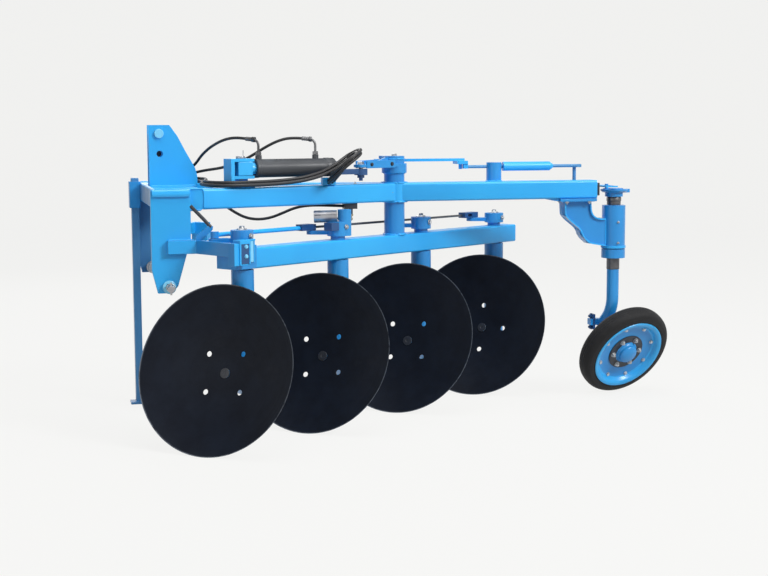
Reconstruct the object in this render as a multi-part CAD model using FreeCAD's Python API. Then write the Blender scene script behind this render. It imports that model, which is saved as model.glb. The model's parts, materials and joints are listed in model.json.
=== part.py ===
import FreeCAD
import Part
import math
import os

os.makedirs("parts", exist_ok=True)

# Reversible disc plough. Millimetres. X runs back from the tractor, Y to the far side, Z up from the ground.
# Everything is drawn about the swing pivot, then moved so that the origin is under the middle of the box.

V = FreeCAD.Vector

# main dimensions
disc_radius = 330.0
disc_thickness = 6.0
disc_dish = 85.0
eye_radius = 20.0
disc_tilt = 18.35
disc_count = 4
spacing = 540.0
first_station = -900.0
beam_angle = 35.2
disc_turn = 52.7
hub_ahead = 200.7
hub_side = 15.1

beam_low = 677.0
beam_top = 757.0
beam_width = 90.0
beam_front = -985.0
beam_rear = 832.0
housing_low = 680.0
housing_top = 770.0
housing_length = 112.0

frame_low = 900.0
frame_top = 980.0
frame_width = 100.0
rear_beam_end = 916.0
post_radius = 44.0
post_top = 1094.0

plate_inner = 415.0
plate_thick = 20.0
king_x = 1016.0
lever_reach = 215.0
lever_top = 1062.0
eye_top = 1044.0
cylinder_base = V(-705.0, -292.0, 1054.0)
front_port = 80.0
rear_port = 339.0
hose_radius = 6.0
bundle_radius = 6.5
leg_x = -1079.0
leg_y = 383.0
arm_reach = 105.0
arm_angle = 130.0
arm_low = 772.0
arm_top = 794.0
lock_post_top = 880.0
crank_reach = 70.0
wheel_radius = 225.0
wheel_lean = 28.7
wheel_steer = 14.2
wheel_x = 1081.0
wheel_y = 18.0
wheel_z = 206.2

shapes = {}


def box(x0, x1, y0, y1, z0, z1):
    return Part.makeBox(x1 - x0, y1 - y0, z1 - z0, V(x0, y0, z0))


def rod(start, end, radius):
    way = end.sub(start)
    return Part.makeCylinder(radius, way.Length, start, way)


def upright(x, y, z0, z1, radius):
    return Part.makeCylinder(radius, z1 - z0, V(x, y, z0), V(0, 0, 1))


def across(x, z, y0, y1, radius):
    return Part.makeCylinder(radius, y1 - y0, V(x, y0, z), V(0, 1, 0))


def side_plate(points, y0, y1):
    corners = [V(x, y0, z) for x, z in points]
    corners.append(corners[0])
    return Part.Face(Part.makePolygon(corners)).extrude(V(0, y1 - y0, 0))


def flat_plate(points, z0, z1):
    corners = [V(x, y, z0) for x, y in points]
    corners.append(corners[0])
    return Part.Face(Part.makePolygon(corners)).extrude(V(0, 0, z1 - z0))


def turned(shape, degrees, centre=V(0, 0, 0), axis=V(0, 0, 1)):
    copy = shape.copy()
    copy.rotate(centre, axis, degrees)
    return copy


def moved(shape, way):
    copy = shape.copy()
    copy.translate(way)
    return copy


def mirrored(shape):
    return shape.mirror(V(0, 0, 0), V(0, 1, 0))


def join(first, *others):
    result = first
    for other in others:
        result = result.fuse(other)
    return result.removeSplitter()


def group(*solids):
    return Part.makeCompound(list(solids))


def rounded(shape, radius, direction):
    edges = []
    for edge in shape.Edges:
        way = edge.tangentAt(edge.FirstParameter)
        if abs(abs(way.dot(direction)) - 1.0) < 1e-6:
            edges.append(edge)
    return shape.makeFillet(radius, edges)


def rounded_path(points, name):
    # straight runs joined by tangent arcs, each as large as its two runs allow
    edges = []
    radii = []
    last = points[0]
    for before, corner, after in zip(points, points[1:], points[2:]):
        way_in = corner.sub(before).normalize()
        way_out = after.sub(corner).normalize()
        turn = way_in.getAngle(way_out)
        cut = 0.45 * min(corner.sub(before).Length, after.sub(corner).Length)
        radius = cut / math.tan(turn / 2)
        radii.append(round(radius))
        start = corner.sub(way_in * cut)
        end = corner.add(way_out * cut)
        inward = way_out.sub(way_in).normalize()
        middle = corner.add(inward * (radius / math.cos(turn / 2) - radius))
        edges.append(Part.makeLine(last, start))
        edges.append(Part.Arc(start, middle, end).toShape())
        last = end
    edges.append(Part.makeLine(last, points[-1]))
    print(name, "radii", radii)
    return Part.Wire(edges)


def bent_bar(points, radius, name):
    path = rounded_path(points, name)
    circle = Part.makeCircle(radius, points[0], points[1].sub(points[0]))
    bar = path.makePipeShell([Part.Wire(circle)], True, False)
    length = sum(edge.Length for edge in path.Edges)
    print(name, "volume share", round(bar.Volume / (math.pi * radius ** 2 * length), 4), "length", round(length))
    return bar


def along_beam(shape):
    return turned(shape, beam_angle)


def station(k):
    return V(first_station + spacing * k, 0, 0)


def station_place(k):
    return turned_point(station(k), beam_angle)


def turned_point(point, degrees):
    angle = math.radians(degrees)
    x = point.x * math.cos(angle) - point.y * math.sin(angle)
    y = point.x * math.sin(angle) + point.y * math.cos(angle)
    return V(x, y, point.z)


def on_station(shape, k):
    return moved(turned(shape, disc_turn), station_place(k))


# main frame

def tube_between(start, end, width, low, top):
    way = end.sub(start)
    length = way.Length
    body = box(0, length, -width / 2, width / 2, low, top)
    body = rounded(body, 10.0, V(1, 0, 0))
    body = turned(body, math.degrees(math.atan2(way.y, way.x)))
    return moved(body, V(start.x, start.y, 0))


def pivot_core():
    return upright(0, 0, frame_low, frame_top, 55.0)


def rear_beam():
    beam = tube_between(V(0, 0, 0), V(rear_beam_end, 0, 0), frame_width, frame_low, frame_top)
    beam = beam.cut(upright(0, 0, 0, 2000, 55.0))
    return beam.cut(box(-200, -10, -200, 200, 0, 2000))


def front_beam():
    beam = tube_between(V(0, 0, 0), V(-900, -372, 0), frame_width, frame_low, frame_top)
    beam = beam.cut(upright(0, 0, 0, 2000, 55.0))
    beam = beam.cut(box(-10, 300, -300, 300, 0, 2000))
    beam = beam.cut(box(-300, 300, 0, 300, 0, 2000))
    return beam.cut(box(-1100, -868, -600, 600, 0, 2000))


def pivot_housing():
    return pivot_core().cut(upright(0, 0, 0, 2000, post_radius + 0.5))


def cross_beam():
    return rounded(box(-1058, -868, -plate_inner, plate_inner, frame_low, frame_top), 10.0, V(0, 1, 0))


def mast_plate():
    outline = [(-1046, 980), (-1046, 1229), (-961, 1229), (-929, 1184), (-895, 1118), (-858, 1052)]
    outline += [(-850, 1019), (-850, 980)]
    plate = side_plate(outline, -42, -28)
    plate = plate.cut(across(-1004, 1194, -60, 60, 13.0))
    return plate.cut(across(-1002, 1111, -60, 60, 13.0))


def hitch_plate():
    outline = [(-1074, 980), (-1074, 670), (-1052, 580), (-997, 580), (-974, 607), (-922, 787), (-920, 980)]
    return side_plate(outline, -plate_inner - plate_thick, -plate_inner)


def hitch_pin():
    pin = across(-1009, 605, -525, -400, 14.0)
    collar = across(-1009, 605, -plate_inner - plate_thick - 10, -plate_inner - plate_thick, 24.0)
    nut = across(-1009, 605, -plate_inner, -395, 22.0)
    return join(pin, collar, nut)


def top_pin():
    pin = across(-1004, 1194, -52, 56, 12.5)
    head = across(-1004, 1194, -52, -42, 19.0)
    return join(pin, head)


def stop_arm():
    plate_face = -plate_inner - plate_thick
    flat = box(-1013, -905, plate_face - 26, plate_face, 733, 785)
    inner = turned_point(V(-1012, -61, 0), beam_angle)
    outer = turned_point(V(-1030, -96, 0), beam_angle)
    reach = flat_plate([(-905, plate_face - 26), (-905, plate_face), (-880, -461), (inner.x, inner.y),
                        (outer.x, outer.y), (-885, -497)], 733, 785)
    block = along_beam(box(-1030, -950, -96, -61, 700, 785))
    arm = join(flat, reach, block)
    return arm


def leg_sleeve():
    outer = box(leg_x - 25, -1058, leg_y - 33, plate_inner, 870, 985)
    return outer.cut(box(leg_x - 17, leg_x + 17, leg_y - 26, leg_y + 26, 800, 1100))


def tail_bracket():
    outline = [(766, 900), (772, 824), (844, 764), (848, 738), (884, 699), (980, 682), (980, 810), (940, 807), (905, 822)]
    outline += [(893, 860), (893, 900)]
    arm = side_plate(outline, -24, 24)
    arm = arm.cut(upright(king_x, 0, 600, 900, 50.0))
    flange = box(741, 912, -58, 58, 888, 900)
    wedge = side_plate([(680, 900), (741, 888), (741, 900)], -40, 40)
    sleeve = upright(king_x, 0, 672, 866, 52.0)
    bracket = join(arm, flange, wedge, sleeve)
    return bracket.cut(upright(king_x, 0, 600, 900, 28.5))


def beam_plug():
    return box(rear_beam_end, rear_beam_end + 16, -38, 38, 912, 968)


def cylinder_seat():
    low = cylinder_base.z - 40
    high = cylinder_base.z + 40
    foot = box(-60, 46, -30, 30, frame_top, frame_top + 12)
    lower = box(-60, 46, -30, 30, low, low + 12)
    upper = box(-60, 46, -30, 30, high - 12, high)
    back = box(-60, -44, -30, 30, frame_top, high)
    web = box(-60, 30, -5, 5, frame_top, low + 12)
    seat = join(foot, lower, upper, back, web)
    angle = math.degrees(math.atan2(cylinder_base.y, cylinder_base.x)) + 180.0
    seat = turned(seat, angle)
    return moved(seat, V(cylinder_base.x, cylinder_base.y, 0))


def cylinder_pin():
    base = cylinder_base
    pin = upright(base.x, base.y, base.z - 44, base.z + 50, 12.0)
    return join(pin, upright(base.x, base.y, base.z + 40, base.z + 50, 18.0))


def guide_post():
    post = upright(455, 15, frame_top, 1062, 33.0)
    return post.cut(rod(V(380, 15, 1044), V(560, 15, 1044), 8.0))


# parking leg

def parking_leg():
    bar = box(leg_x - 16, leg_x + 16, leg_y - 25, leg_y + 25, 8, 1000)
    foot = box(leg_x - 40, leg_x + 34, leg_y - 45, leg_y + 25, 0, 10)
    return join(bar, foot)


# swinging beam

def lower_beam():
    beam = box(beam_front + housing_length, beam_rear, -beam_width / 2, beam_width / 2, beam_low, beam_top)
    beam = rounded(beam, 8.0, V(1, 0, 0))
    for k in range(disc_count):
        beam = beam.cut(upright(station(k).x, 0, 0, 2000, 31.0))
    return along_beam(beam)


def front_housing():
    shell = box(beam_front, beam_front + housing_length, -55, 55, housing_low, housing_top)
    shell = rounded(shell, 6.0, V(0, 0, 1))
    return along_beam(shell.cut(upright(first_station, 0, 0, 2000, 31.0)))


def pivot_post():
    return upright(0, 0, beam_top, post_top - 12, post_radius)


def swing_lever():
    hub = upright(0, 0, 1022, lever_top, 54.0)
    reach = flat_plate([(0, -50), (-lever_reach, -30), (-lever_reach, 30), (0, 50)], lever_top - 12, lever_top)
    tip = upright(-lever_reach, 0, lever_top - 12, lever_top, 30.0)
    rib = side_plate([(-160, lever_top), (-40, lever_top), (-40, 1088), (-60, 1088)], -6, 6)
    lever = join(hub, reach, tip, rib)
    return along_beam(lever.cut(upright(0, 0, 0, 2000, post_radius)))


def top_crank():
    low = post_top - 12
    pin = turned_point(V(crank_reach, 0, 0), 90.0 + beam_angle)
    side = turned_point(V(14, 0, 0), beam_angle)
    cap = upright(0, 0, low, post_top, post_radius)
    arm = flat_plate([(-30, -20), (30, 20), (pin.x + side.x, pin.y + side.y), (pin.x - side.x, pin.y - side.y)],
                     low, post_top)
    tip = upright(pin.x, pin.y, low, post_top, 14.0)
    peg = upright(pin.x, pin.y, 1060, post_top, 9.0)
    return join(cap, arm, tip, peg)


# standards and discs

def rim_centre():
    return V(-hub_ahead, hub_side, disc_radius * math.cos(math.radians(disc_tilt)))


def disc_axis():
    tilt = math.radians(disc_tilt)
    return V(-math.cos(tilt), 0, math.sin(tilt))


def apex(back):
    centre = rim_centre()
    return centre.sub(disc_axis().multiply(disc_dish + back))


def standard(k):
    tube = upright(0, 0, 228, 674, 44.0)
    carrier = rod(apex(26), apex(150), 56.0)
    shaft = upright(0, 0, 674, top_of_standard(k) - 12, 30.0)
    body = join(tube, carrier, shaft)
    body = body.cut(rod(apex(20), apex(126), 26.0))
    return on_station(body, k)


def top_of_standard(k):
    heights = [826, 832, 824, 816]
    return heights[k]


def arm_tip():
    return turned_point(V(arm_reach, 0, 0), arm_angle)


def steering_arm(k):
    hub = upright(0, 0, arm_low, top_of_standard(k), 44.0)
    hub = hub.cut(upright(0, 0, 0, top_of_standard(k) - 12, 30.0))
    tip = arm_tip()
    side = turned_point(V(0, 24, 0), arm_angle)
    reach = flat_plate([(side.x, side.y), (-side.x, -side.y), (tip.x - side.x, tip.y - side.y),
                        (tip.x + side.x, tip.y + side.y)], arm_top - 16, arm_top)
    eye = upright(tip.x, tip.y, arm_top - 16, arm_top, 24.0)
    arm = join(hub, reach.cut(upright(0, 0, 0, 2000, 30.0)), eye)
    if k == 1:
        arm = join(arm, lock_post())
    return moved(along_beam(arm), station_place(k))


def lock_post():
    post = upright(18, -22, arm_low, lock_post_top, 28.0)
    post = post.cut(upright(0, 0, 0, top_of_standard(1) - 12, 30.0))
    return post


def lock_sleeve():
    start = V(-8, -4, 853)
    way = turned_point(V(-1, 0.22, -0.02), -beam_angle)
    sleeve = rod(start, start.add(way * 92.0), 25.0)
    sleeve = sleeve.cut(lock_post())
    return moved(along_beam(sleeve), station_place(1))


def hub_of_disc(k):
    flange = rod(apex(6.5), apex(20), 75.0)
    spindle = rod(apex(20), apex(122), 25.0)
    nose = rod(apex(-2), apex(8), eye_radius - 0.3)
    hub = join(flange, spindle, nose)
    hub = hub.cut(disc_blank())
    return on_station(hub, k)


def bowl_point(radius, angle):
    sphere = (disc_radius ** 2 + disc_dish ** 2) / (2.0 * disc_dish)
    return V(radius * math.sin(angle), 0, sphere - disc_dish - radius * math.cos(angle))


def disc_blank():
    sphere = (disc_radius ** 2 + disc_dish ** 2) / (2.0 * disc_dish)
    outer = sphere + disc_thickness
    half = math.asin(disc_radius / sphere)
    edge = math.asin((disc_radius - 3.2) / outer)
    front = [bowl_point(sphere, math.asin(eye_radius / sphere)), bowl_point(sphere, half / 2), bowl_point(sphere, half)]
    back = [bowl_point(outer, edge), bowl_point(outer, edge / 2), bowl_point(outer, math.asin(eye_radius / outer))]
    edges = [Part.Arc(*front).toShape(), Part.makeLine(front[2], back[0])]
    edges += [Part.Arc(*back).toShape(), Part.makeLine(back[2], front[0])]
    blank = Part.Face(Part.Wire(edges)).revolve(V(0, 0, 0), V(0, 0, 1), 360)
    blank.rotate(V(0, 0, 0), V(0, 1, 0), disc_tilt - 90.0)
    return moved(blank, rim_centre())


def disc(k):
    phases = [48.0, 52.0, 48.0, 0.0]
    blank = disc_blank()
    for i in range(4):
        angle = math.radians(phases[k] + 90.0 * i)
        across_way = V(0, 1, 0)
        up_way = disc_axis().cross(across_way)
        offset = across_way * (104.0 * math.cos(angle)) + up_way * (104.0 * math.sin(angle))
        start = rim_centre().add(offset)
        blank = blank.cut(rod(start, start.sub(disc_axis() * 130.0), 11.0))
    return on_station(blank, k)


def tie_bar():
    tip = arm_tip()
    level = arm_top + 13
    front = first_station + tip.x
    second = front + spacing
    rear = front + 3 * spacing
    parts = [rod(V(front, tip.y, level), V(second, tip.y, level), 9.0)]
    parts.append(rod(V(second, tip.y, level), V(rear - 40, tip.y, level), 5.0))
    for k in range(disc_count):
        parts.append(upright(front + spacing * k, tip.y, arm_top + 1, arm_top + 26, 16.0))
    parts.append(box(second - 78, second - 12, tip.y - 18, tip.y + 18, arm_top + 2, arm_top + 28))
    fork = box(rear - 74, rear + 24, tip.y - 20, tip.y + 20, arm_top + 1, arm_top + 26)
    fork = fork.cut(box(rear - 52, rear - 20, tip.y - 30, tip.y + 30, arm_top + 7, arm_top + 20))
    parts.append(fork)
    return along_beam(join(*parts))


# cylinder

def rod_eye():
    eye = turned_point(V(-lever_reach, 0, 0), beam_angle)
    return V(eye.x, eye.y, cylinder_base.z)


def cylinder_length():
    return rod_eye().sub(cylinder_base).Length


def cylinder_point(distance):
    return cylinder_base.add(rod_eye().sub(cylinder_base).normalize() * distance)


def layer(shape, low, high):
    return shape.common(box(-2000, 2000, -2000, 2000, low, high))


def port_boss(distance):
    point = cylinder_point(distance)
    return upright(point.x, point.y, base_top(), base_top() + 18, 13.0)


def base_top():
    return cylinder_base.z + 34


def cylinder_barrel():
    base = cylinder_base
    eye = upright(base.x, base.y, base.z - 26, base.z + 26, 30.0)
    tail = rod(cylinder_point(10), cylinder_point(70), 24.0)
    barrel = rod(cylinder_point(60), cylinder_point(416), 37.0)
    body = join(eye, tail, barrel, port_boss(front_port), port_boss(rear_port))
    body = body.cut(upright(base.x, base.y, 900, 1200, 12.5))
    return body.cut(rod(cylinder_point(100), cylinder_point(500), 18.5))


def cylinder_rod():
    eye = rod_eye()
    length = cylinder_length()
    shaft = rod(cylinder_point(250), cylinder_point(length - 116), 18.0)
    block = layer(rod(cylinder_point(length - 122), cylinder_point(length - 92), 24.0), 1020, 1080)
    angle = math.degrees(math.atan2(eye.y - cylinder_base.y, eye.x - cylinder_base.x))
    tongue = turned(box(-120, 0, -18, 18, 1022, eye_top), angle)
    tongue = moved(tongue, V(eye.x, eye.y, 0))
    ring = upright(eye.x, eye.y, 1018, eye_top, 28.0)
    pin = upright(eye.x, eye.y, 994, 1020, 8.0)
    head = upright(eye.x, eye.y, 1006, 1019, 15.0)
    return join(shaft, block, tongue, ring, pin, head)


# rear linkage

def push_rod():
    level = 1044.0
    pin = turned_point(V(crank_reach, 0, 0), 90.0 + beam_angle)
    flat = box(pin.x - 28, 332, 50, 92, 1068, 1080)
    flat = flat.cut(box(pin.x + 28, 400, 72, 100, 1000, 1100))
    flat = flat.cut(box(pin.x - 12, pin.x + 12, 40, 84, 1000, 1100))
    eye = box(284, 332, 0, 72, 1056, 1070)
    bolt = upright(306, 30, 1034, 1060, 8.0)
    neck = box(314, 334, 5, 25, level - 8, 1060)
    shaft = rod(V(330, 15, level), V(862, 15, level), 7.0)
    tube = rod(V(474 + 22, 15, level), V(712, 15, level), 20.0)
    cone = Part.makeCone(20.0, 9.0, 16.0, V(712, 15, level), V(1, 0, 0))
    arm = box(840, 862, 8, 74, level - 7, level + 5)
    drop = upright(851, 66, 950, level, 8.0)
    link = box(840, 962, 56, 76, 949, 955)
    yoke = box(948, 1002, -76, 76, 949, 955).cut(box(962, 991, -62, 8, 900, 1100))
    return join(flat, eye, bolt, neck, shaft, tube, cone, arm, drop, link, yoke)


# hoses

# centre lines of the hoses, chosen by hand
front_hose = [(-671, -236.6, 1172), (-706, -210, 1178), (-752, -160, 1170), (-796, -94, 1142), (-828, -24, 1106)]
front_hose += [(-846, 42, 1068), (-872, 84, 1042), (-906, 112, 1024)]
rear_hose = [(-432, -179.4, 1172), (-480, -169, 1176), (-534, -155, 1162), (-586, -140, 1134), (-636, -115, 1100)]
rear_hose += [(-690, -74, 1070), (-750, -22, 1050), (-812, 34, 1040), (-862, 92, 1026), (-906, 136, 1016)]
beam_hose = [(-900, 98, 992), (-860, 96, 992), (-828, 66, 992), (-815, 12, 992), (-815, -55, 991)]
beam_hose += [(-825, -125, 990), (-840, -195, 989), (-839, -260, 989), (-817, -318, 988), (-776, -362, 988)]
beam_hose += [(-717, -351, 988), (-655, -324, 988), (-596, -296, 989), (-530, -273, 992), (-465, -256, 998)]
beam_hose += [(-405, -244, 1009), (-350, -236, 1026), (-304, -223, 1050), (-270, -205, 1072), (-238, -198, 1092)]
beam_hose += [(-209, -233, 1112), (-208, -283, 1112), (-238, -318, 1092), (-274, -327, 1066), (-304, -312, 1038)]
beam_hose += [(-322, -276, 1013), (-328, -232, 996), (-326, -190, 988)]
under_hose = [(-245, -95, 888), (-290, -90, 890), (-345, -80, 892), (-400, -70, 891), (-450, -62, 881)]
under_hose += [(-500, -60, 860), (-548, -60, 842), (-602, -60, 835), (-656, -60, 844), (-704, -60, 870)]
under_hose += [(-748, -60, 902), (-802, -60, 930), (-868, -60, 940)]


def hose(points, name, radius=hose_radius):
    return bent_bar([V(*point) for point in points], radius, name)


def beside(points, side, rise):
    shifted = []
    for i in range(len(points)):
        before = V(*points[max(i - 1, 0)])
        after = V(*points[min(i + 1, len(points) - 1)])
        way = after.sub(before).normalize()
        outward = way.cross(V(0, 0, 1)).normalize()
        upward = outward.cross(way)
        shifted.append(V(*points[i]) + outward * side + upward * rise)
    return shifted


def elbow(distance, route, name):
    port = cylinder_point(distance)
    foot = V(port.x, port.y, base_top() + 19)
    corner = V(port.x, port.y, route[0][2] - 5)
    end = V(*route[0])
    pipe = bent_bar([foot, corner, end], 5.0, name)
    way = end.sub(corner).normalize()
    ferrule = rod(end.sub(way * 30.0), end, 8.5)
    nut = upright(port.x, port.y, base_top() + 19, base_top() + 31, 12.0)
    return join(pipe, ferrule, nut)


def fitting_blocks():
    mast_block = box(-960, -900, 72, 154, frame_top, 1036)
    beam_block = box(-352, -296, -188, -150, frame_top, 1011)
    low_block = box(-245, -190, -118, -72, 876, frame_low)
    low_bolt = upright(-214, -95, 850, 880, 9.0)
    return group(mast_block, beam_block, join(low_block, low_bolt))


# tail wheel

def wheel_axis():
    lean = math.radians(wheel_lean)
    steer = math.radians(wheel_steer)
    return V(math.sin(steer) * math.cos(lean), -math.cos(steer) * math.cos(lean), -math.sin(lean))


def wheel_centre():
    return V(wheel_x, wheel_y, wheel_z)


def wheel_point(distance):
    return wheel_centre().add(wheel_axis() * distance)


def crank_arm():
    shank = bent_bar([V(king_x, 0, 660), V(king_x, 0, 395), V(1000, 92, 306), wheel_point(-82)], 27.0, "tail_crank")
    axle = rod(wheel_point(-96), wheel_point(20), 18.0)
    collar = upright(king_x, 0, 630, 670, 53.0)
    king = upright(king_x, 0, 630, 905, 28.0)
    clamp = box(938, 990, 62, 102, 316, 344)
    return join(shank, axle, collar, king, clamp)


def crank_lever():
    pin = turned_point(V(41.6, 0, 0), 194.3)
    hub = upright(king_x, 0, 905, 942, 40.0)
    arm = flat_plate([(king_x - 10, 30), (king_x - 10, -34), (king_x + pin.x - 8, pin.y - 20),
                      (king_x + pin.x - 8, pin.y + 20)], 926, 942)
    peg = upright(king_x + pin.x, pin.y, 926, 962, 8.0)
    tip = flat_plate([(king_x + 20, -30), (king_x + 74, -6), (king_x + 74, 6), (king_x + 20, 30)], 922, 938)
    return join(hub, arm, peg, tip)


def about_wheel(points):
    corners = [V(r, 0, h) for r, h in points]
    corners.append(corners[0])
    ring = Part.Face(Part.makePolygon(corners)).revolve(V(0, 0, 0), V(0, 0, 1), 360)
    turn = FreeCAD.Rotation(V(0, 0, 1), wheel_axis())
    ring.Placement = FreeCAD.Placement(wheel_centre(), turn)
    return ring


def tail_tyre():
    outline = [(156, -38), (184, -44), (208, -37), (221, -20), (wheel_radius, 0), (221, 20), (208, 37), (184, 44)]
    outline.append((156, 38))
    return about_wheel(outline)


def tail_rim():
    outline = [(60, -16), (110, -16), (128, -37), (155.5, -37), (155.5, 37), (136, 37), (112, 20), (60, 20)]
    return about_wheel(outline)


def tail_hub():
    outline = [(19, -50), (46, -50), (59.5, -18), (59.5, 22), (44, 34), (38, 52), (0, 60), (0, 24), (19, 24)]
    return about_wheel(outline)


def both_sides(name, shape):
    shapes["near_" + name] = shape
    shapes["far_" + name] = mirrored(shape)


def build():
    shapes["rear_beam"] = rear_beam()
    shapes["near_front_beam"] = front_beam()
    shapes["far_front_beam"] = mirrored(front_beam())
    shapes["pivot_housing"] = pivot_housing()
    shapes["cross_beam"] = cross_beam()
    shapes["mast_plates"] = group(mast_plate(), mirrored(mast_plate()))
    shapes["top_pin"] = top_pin()
    both_sides("hitch_plate", hitch_plate().cut(hitch_pin()))
    both_sides("hitch_pin", hitch_pin())
    both_sides("stop_arm", stop_arm())
    shapes["leg_sleeve"] = leg_sleeve()
    shapes["tail_bracket"] = tail_bracket()
    shapes["beam_plug"] = beam_plug()
    shapes["cylinder_seat"] = cylinder_seat().cut(cylinder_pin())
    shapes["cylinder_pin"] = cylinder_pin()
    shapes["guide_post"] = guide_post()
    shapes["parking_leg"] = parking_leg()
    shapes["lower_beam"] = lower_beam()
    shapes["front_housing"] = front_housing()
    shapes["pivot_post"] = pivot_post()
    shapes["swing_lever"] = swing_lever()
    shapes["top_crank"] = top_crank()
    for k in range(disc_count):
        name = str(k + 1)
        shapes["standard_" + name] = standard(k)
        shapes["arm_" + name] = steering_arm(k)
        shapes["disc_" + name] = disc(k)
        shapes["disc_hub_" + name] = hub_of_disc(k)
    shapes["lock_sleeve"] = lock_sleeve().cut(shapes["arm_2"])
    shapes["tie_bar"] = tie_bar()
    shapes["cylinder_barrel"] = cylinder_barrel()
    shapes["cylinder_rod"] = cylinder_rod()
    shapes["push_rod"] = push_rod()
    shapes["hose_front"] = hose(front_hose, "hose_front")
    shapes["hose_rear"] = hose(rear_hose, "hose_rear")
    shapes["hose_beam"] = hose(beam_hose, "hose_beam", bundle_radius)
    shapes["hose_twin"] = hose(beside(beam_hose, 0, 13.8), "hose_twin", bundle_radius)
    shapes["hose_third"] = hose(beside(beam_hose, 14.4, 3), "hose_third", bundle_radius)
    shapes["hose_under"] = hose(under_hose, "hose_under").cut(shapes["cross_beam"])
    front_elbow = elbow(front_port, front_hose, "front_elbow")
    rear_elbow = elbow(rear_port, rear_hose, "rear_elbow")
    elbows = group(front_elbow, rear_elbow)
    shapes["fitting_elbows"] = elbows.cut(shapes["hose_front"]).cut(shapes["hose_rear"])
    blocks = fitting_blocks()
    for name in ["hose_front", "hose_rear", "hose_beam", "hose_twin", "hose_third", "hose_under"]:
        blocks = blocks.cut(shapes[name])
    shapes["fitting_blocks"] = blocks
    shapes["tail_crank"] = crank_arm()
    shapes["crank_lever"] = crank_lever()
    shapes["tail_tyre"] = tail_tyre()
    shapes["tail_rim"] = tail_rim()
    shapes["tail_hub"] = tail_hub()


def whole_box():
    whole = FreeCAD.BoundBox()
    for shape in shapes.values():
        whole.add(shape.optimalBoundingBox(False, False))
    return whole


def write():
    whole = whole_box()
    shift = V(-(whole.XMin + whole.XMax) / 2, -(whole.YMin + whole.YMax) / 2, 0)
    print("shift", round(shift.x, 4), round(shift.y, 4), "low", round(whole.ZMin, 4))
    print("size", round(whole.XLength, 2), round(whole.YLength, 2), round(whole.ZLength, 2))
    total = 0.0
    for name, shape in shapes.items():
        placed = moved(shape, shift)
        total += placed.Volume
        print(name, "solids", len(placed.Solids), "valid", placed.isValid(), "litres", round(placed.Volume / 1e6, 3))
        placed.exportStep("parts/" + name + ".step")
    print("litres in all", round(total / 1e6, 2))


build()
write()
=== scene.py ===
import json
import math
import bmesh
import bpy
import numpy as np
from mathutils import Matrix, Vector

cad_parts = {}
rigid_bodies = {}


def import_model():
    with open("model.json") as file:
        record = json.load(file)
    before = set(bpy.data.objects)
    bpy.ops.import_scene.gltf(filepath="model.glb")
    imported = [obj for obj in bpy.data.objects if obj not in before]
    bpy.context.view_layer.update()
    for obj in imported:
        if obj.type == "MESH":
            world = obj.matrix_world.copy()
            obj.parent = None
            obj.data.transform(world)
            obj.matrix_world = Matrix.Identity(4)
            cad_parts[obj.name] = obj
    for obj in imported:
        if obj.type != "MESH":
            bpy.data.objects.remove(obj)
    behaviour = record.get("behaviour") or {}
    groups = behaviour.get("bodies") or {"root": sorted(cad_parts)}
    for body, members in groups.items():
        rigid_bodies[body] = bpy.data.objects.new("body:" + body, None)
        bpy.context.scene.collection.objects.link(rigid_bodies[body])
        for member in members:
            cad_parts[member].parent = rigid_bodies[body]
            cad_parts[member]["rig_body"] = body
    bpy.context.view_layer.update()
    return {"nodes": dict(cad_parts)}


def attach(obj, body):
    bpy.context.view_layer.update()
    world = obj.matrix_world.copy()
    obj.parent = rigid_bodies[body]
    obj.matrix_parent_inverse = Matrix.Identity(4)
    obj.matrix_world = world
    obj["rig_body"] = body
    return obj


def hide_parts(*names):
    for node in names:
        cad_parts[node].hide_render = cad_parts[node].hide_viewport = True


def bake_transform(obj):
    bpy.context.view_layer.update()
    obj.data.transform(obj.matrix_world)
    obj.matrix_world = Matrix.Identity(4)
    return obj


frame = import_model()
nodes = frame["nodes"]
print("frame loaded:", len(nodes), "nodes")

machineMiddle = np.array([81.0564, -106.7494, 0.0])  # mm, the box's middle seen from the swing post
machine = {"beamAngle": 35.2, "discTurn": 52.7, "firstStation": -900.0, "spacing": 540.0}
upward, downward = (0, 0, 1), (0, 0, -1)
endless = math.inf


# mm about the swing post into metres about the part's origin
def row(points):
    return (np.asarray(points, float) - machineMiddle) / 1000.0


# turns points about the vertical through the swing post
def turnedPoints(points, degrees):
    cosine, sine = math.cos(math.radians(degrees)), math.sin(math.radians(degrees))
    return np.asarray(points, float) @ np.array([[cosine, sine, 0], [-sine, cosine, 0], [0, 0, 1]])


# points given along and across the swinging beam
def onBeam(points):
    return turnedPoints(points, machine["beamAngle"])


# where the standard of disc k stands, and points given about it
def stationAt(k):
    return onBeam([machine["firstStation"] + machine["spacing"] * k, 0, 0])


def onStation(points, k):
    return turnedPoints(points, machine["discTurn"]) + stationAt(k)


def addObject(name, data):
    thing = bpy.data.objects.new(name, data)
    bpy.context.scene.collection.objects.link(thing)
    return thing


# camera and studio

cameraSet = {"place": (-1484.0, -5859.5, 1205.4), "azimuth": -13.776, "pitch": 6.444, "roll": -0.229,
             "lens": 65.625, "sensor": 36.0, "reach": 200.0}


def makeCamera():
    turn, pitch, roll = (math.radians(cameraSet[key]) for key in ("azimuth", "pitch", "roll"))
    right = np.array([math.cos(turn), math.sin(turn), 0.0])
    ahead = np.array([-math.sin(turn) * math.cos(pitch), math.cos(turn) * math.cos(pitch), -math.sin(pitch)])
    up = np.cross(right, ahead)
    side = right * math.cos(roll) + up * math.sin(roll)
    top = up * math.cos(roll) - right * math.sin(roll)
    data = bpy.data.cameras.new("camera")
    data.lens = cameraSet["lens"]
    data.sensor_width = cameraSet["sensor"]
    data.clip_end = cameraSet["reach"]
    camera = addObject("camera", data)
    columns = np.column_stack([side, top, -ahead, row(cameraSet["place"])])
    camera.matrix_world = Matrix([*columns.tolist(), [0, 0, 0, 1]])
    bpy.context.scene.camera = camera


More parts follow.
